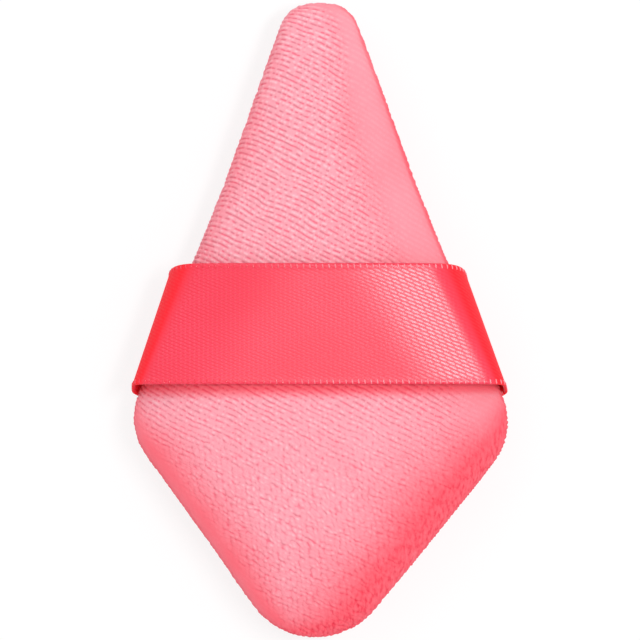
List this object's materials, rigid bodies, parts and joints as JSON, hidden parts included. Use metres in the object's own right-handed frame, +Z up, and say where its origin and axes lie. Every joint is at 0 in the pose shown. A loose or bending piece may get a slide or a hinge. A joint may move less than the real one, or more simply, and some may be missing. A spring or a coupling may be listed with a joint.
{
  "type": "powder_puff",
  "caption": "Kite-shaped velour powder puff, a stuffed pad of soft ribbed pile with a satin ribbon across its back to hold it by.",
  "frame": {"origin": "on the surface that the puff lies on, under the middle of its length and width", "axes": "+Y towards the pointed tip, +Z up out of the ribbon side, +X across the pad"},
  "size_m": [0.051, 0.085, 0.0156],
  "materials": {
    "velour": "matte ribbed pile",
    "satin": "satin weave, glossy along the ribbon",
    "filling": "soft open foam",
    "thread": "spun sewing thread"
  },
  "bodies": {
    "puff": {"strap_side_cover": "velour", "powder_side_cover": "velour", "foam_core": "filling", "ribbon_tab_right": "satin", "ribbon_tab_left": "satin", "needle_thread": "thread", "bobbin_thread": "thread", "ribbon_tack_right": "thread", "ribbon_tack_left": "thread", "closing_stitches": "thread"},
    "strap": {"ribbon_strap": "satin"}
  },
  "joints": [
    {"name": "strap_lift", "type": "slide", "parent": "puff", "child": "strap", "axis": [0, 0, 1], "range_m": [-0.0008, 0.004], "stiffness_N_per_m": 20}
  ]
}
